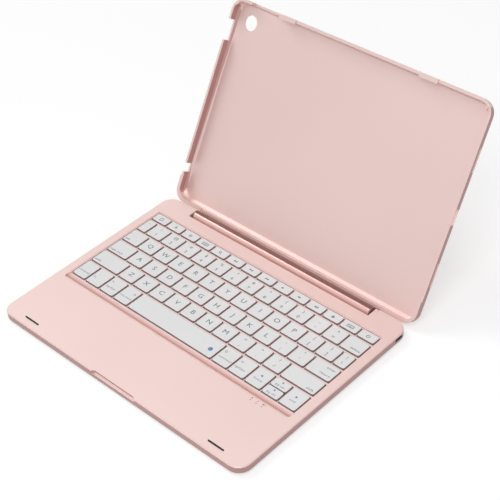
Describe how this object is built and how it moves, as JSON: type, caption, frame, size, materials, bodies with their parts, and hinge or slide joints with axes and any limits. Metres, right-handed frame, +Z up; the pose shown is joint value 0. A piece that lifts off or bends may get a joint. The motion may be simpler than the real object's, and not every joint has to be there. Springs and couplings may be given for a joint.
{
  "type": "tablet keyboard case",
  "caption": "Thin clamshell keyboard case with a chiclet keyboard, a barrel hinge and an open snap-in tray that holds a tablet as the screen.",
  "frame": {"origin": "bottom centre of the whole object with its lid open; the rubber feet stand on z = 0", "axes": "+X to the user's right, +Y from the user towards the hinge, +Z up"},
  "size_m": [0.2552, 0.285, 0.1591],
  "materials": {
    "bumper_rubber": "black matte",
    "cell_pouch": "wrapped pouch cell",
    "circuit_board": "solder mask green",
    "dome_rubber": "milky silicone",
    "foot_rubber": "grey-brown matte",
    "hinge_steel": "brushed",
    "keycap_plastic": "matte light grey keycap plastic",
    "light_pipe_plastic": "milky clear",
    "membrane_film": "clear printed film",
    "pale_web_plastic": "matte pale pink plastic",
    "rose_aluminium": "satin anodised rose gold",
    "rose_plastic": "matte rose plastic",
    "screw_steel": "zinc plated"
  },
  "bodies": {
    "base": {"battery_cells": "cell_pouch", "board_screws": "screw_steel", "bottom_cover": "rose_plastic", "bracket_screws": "screw_steel", "case_screws": "screw_steel", "charging_board": "circuit_board", "charging_socket": "hinge_steel", "control_board": "circuit_board", "deck_cover": "rose_aluminium", "front_bumpers": "bumper_rubber", "key_frame": "pale_web_plastic", "key_support_plate": "hinge_steel", "left_hinge_bracket": "hinge_steel", "right_hinge_bracket": "hinge_steel", "rubber_domes": "dome_rubber", "rubber_feet": "foot_rubber", "status_light_pipe": "light_pipe_plastic", "switch_membrane": "membrane_film"},
    "lid": {"tray_shell": "rose_aluminium", "hinge_neck": "rose_aluminium", "barrel_cover": "rose_aluminium", "left_hinge_pin": "hinge_steel", "right_hinge_pin": "hinge_steel", "neck_screws": "screw_steel"},
    "function_keys": {"function_keys": "keycap_plastic"},
    "power_key": {"power_key": "keycap_plastic"},
    "grave_key": {"grave_key": "keycap_plastic"},
    "number_keys": {"number_keys": "keycap_plastic"},
    "backspace_key": {"backspace_key": "keycap_plastic"},
    "tab_key": {"tab_key": "keycap_plastic"},
    "upper_letter_keys": {"upper_letter_keys": "keycap_plastic"},
    "backslash_key": {"backslash_key": "keycap_plastic"},
    "caps_lock_key": {"caps_lock_key": "keycap_plastic"},
    "home_letter_keys": {"home_letter_keys": "keycap_plastic"},
    "enter_key": {"enter_key": "keycap_plastic"},
    "left_shift_key": {"left_shift_key": "keycap_plastic"},
    "lower_letter_keys": {"lower_letter_keys": "keycap_plastic"},
    "right_shift_key": {"right_shift_key": "keycap_plastic"},
    "control_key": {"control_key": "keycap_plastic"},
    "left_modifier_keys": {"left_modifier_keys": "keycap_plastic"},
    "space_bar": {"space_bar": "keycap_plastic"},
    "right_modifier_keys": {"right_modifier_keys": "keycap_plastic"},
    "left_arrow_key": {"left_arrow_key": "keycap_plastic"},
    "right_arrow_key": {"right_arrow_key": "keycap_plastic"},
    "down_arrow_key": {"down_arrow_key": "keycap_plastic"},
    "up_arrow_key": {"up_arrow_key": "keycap_plastic"}
  },
  "joints": [
    {"name": "lid_hinge", "type": "hinge", "parent": "base", "child": "lid", "pos_m": [0, 0.03989, 0.0049], "axis": [1, 0, 0], "range_deg": [0, 120]},
    {"name": "function_keys_press", "type": "slide", "parent": "base", "child": "function_keys", "axis": [0, 0, -1], "range_m": [0, 0.0014], "stiffness_N_per_m": 400, "springref_m": -0.0006, "deforming": ["rubber_domes"]},
    {"name": "power_key_press", "type": "slide", "parent": "base", "child": "power_key", "axis": [0, 0, -1], "range_m": [0, 0.0014], "stiffness_N_per_m": 400, "springref_m": -0.0006, "deforming": ["rubber_domes"]},
    {"name": "grave_key_press", "type": "slide", "parent": "base", "child": "grave_key", "axis": [0, 0, -1], "range_m": [0, 0.0014], "stiffness_N_per_m": 400, "springref_m": -0.0006, "deforming": ["rubber_domes"]},
    {"name": "number_keys_press", "type": "slide", "parent": "base", "child": "number_keys", "axis": [0, 0, -1], "range_m": [0, 0.0014], "stiffness_N_per_m": 400, "springref_m": -0.0006, "deforming": ["rubber_domes"]},
    {"name": "backspace_key_press", "type": "slide", "parent": "base", "child": "backspace_key", "axis": [0, 0, -1], "range_m": [0, 0.0014], "stiffness_N_per_m": 400, "springref_m": -0.0006, "deforming": ["rubber_domes"]},
    {"name": "tab_key_press", "type": "slide", "parent": "base", "child": "tab_key", "axis": [0, 0, -1], "range_m": [0, 0.0014], "stiffness_N_per_m": 400, "springref_m": -0.0006, "deforming": ["rubber_domes"]},
    {"name": "upper_letter_keys_press", "type": "slide", "parent": "base", "child": "upper_letter_keys", "axis": [0, 0, -1], "range_m": [0, 0.0014], "stiffness_N_per_m": 400, "springref_m": -0.0006, "deforming": ["rubber_domes"]},
    {"name": "backslash_key_press", "type": "slide", "parent": "base", "child": "backslash_key", "axis": [0, 0, -1], "range_m": [0, 0.0014], "stiffness_N_per_m": 400, "springref_m": -0.0006, "deforming": ["rubber_domes"]},
    {"name": "caps_lock_key_press", "type": "slide", "parent": "base", "child": "caps_lock_key", "axis": [0, 0, -1], "range_m": [0, 0.0014], "stiffness_N_per_m": 400, "springref_m": -0.0006, "deforming": ["rubber_domes"]},
    {"name": "home_letter_keys_press", "type": "slide", "parent": "base", "child": "home_letter_keys", "axis": [0, 0, -1], "range_m": [0, 0.0014], "stiffness_N_per_m": 400, "springref_m": -0.0006, "deforming": ["rubber_domes"]},
    {"name": "enter_key_press", "type": "slide", "parent": "base", "child": "enter_key", "axis": [0, 0, -1], "range_m": [0, 0.0014], "stiffness_N_per_m": 400, "springref_m": -0.0006, "deforming": ["rubber_domes"]},
    {"name": "left_shift_key_press", "type": "slide", "parent": "base", "child": "left_shift_key", "axis": [0, 0, -1], "range_m": [0, 0.0014], "stiffness_N_per_m": 400, "springref_m": -0.0006, "deforming": ["rubber_domes"]},
    {"name": "lower_letter_keys_press", "type": "slide", "parent": "base", "child": "lower_letter_keys", "axis": [0, 0, -1], "range_m": [0, 0.0014], "stiffness_N_per_m": 400, "springref_m": -0.0006, "deforming": ["rubber_domes"]},
    {"name": "right_shift_key_press", "type": "slide", "parent": "base", "child": "right_shift_key", "axis": [0, 0, -1], "range_m": [0, 0.0014], "stiffness_N_per_m": 400, "springref_m": -0.0006, "deforming": ["rubber_domes"]},
    {"name": "control_key_press", "type": "slide", "parent": "base", "child": "control_key", "axis": [0, 0, -1], "range_m": [0, 0.0014], "stiffness_N_per_m": 400, "springref_m": -0.0006, "deforming": ["rubber_domes"]},
    {"name": "left_modifier_keys_press", "type": "slide", "parent": "base", "child": "left_modifier_keys", "axis": [0, 0, -1], "range_m": [0, 0.0014], "stiffness_N_per_m": 400, "springref_m": -0.0006, "deforming": ["rubber_domes"]},
    {"name": "space_bar_press", "type": "slide", "parent": "base", "child": "space_bar", "axis": [0, 0, -1], "range_m": [0, 0.0014], "stiffness_N_per_m": 400, "springref_m": -0.0006, "deforming": ["rubber_domes"]},
    {"name": "right_modifier_keys_press", "type": "slide", "parent": "base", "child": "right_modifier_keys", "axis": [0, 0, -1], "range_m": [0, 0.0014], "stiffness_N_per_m": 400, "springref_m": -0.0006, "deforming": ["rubber_domes"]},
    {"name": "left_arrow_key_press", "type": "slide", "parent": "base", "child": "left_arrow_key", "axis": [0, 0, -1], "range_m": [0, 0.0014], "stiffness_N_per_m": 400, "springref_m": -0.0006, "deforming": ["rubber_domes"]},
    {"name": "right_arrow_key_press", "type": "slide", "parent": "base", "child": "right_arrow_key", "axis": [0, 0, -1], "range_m": [0, 0.0014], "stiffness_N_per_m": 400, "springref_m": -0.0006, "deforming": ["rubber_domes"]},
    {"name": "down_arrow_key_press", "type": "slide", "parent": "base", "child": "down_arrow_key", "axis": [0, 0, -1], "range_m": [0, 0.0014], "stiffness_N_per_m": 400, "springref_m": -0.0006, "deforming": ["rubber_domes"]},
    {"name": "up_arrow_key_press", "type": "slide", "parent": "base", "child": "up_arrow_key", "axis": [0, 0, -1], "range_m": [0, 0.0014], "stiffness_N_per_m": 400, "springref_m": -0.0006, "deforming": ["rubber_domes"]}
  ]
}
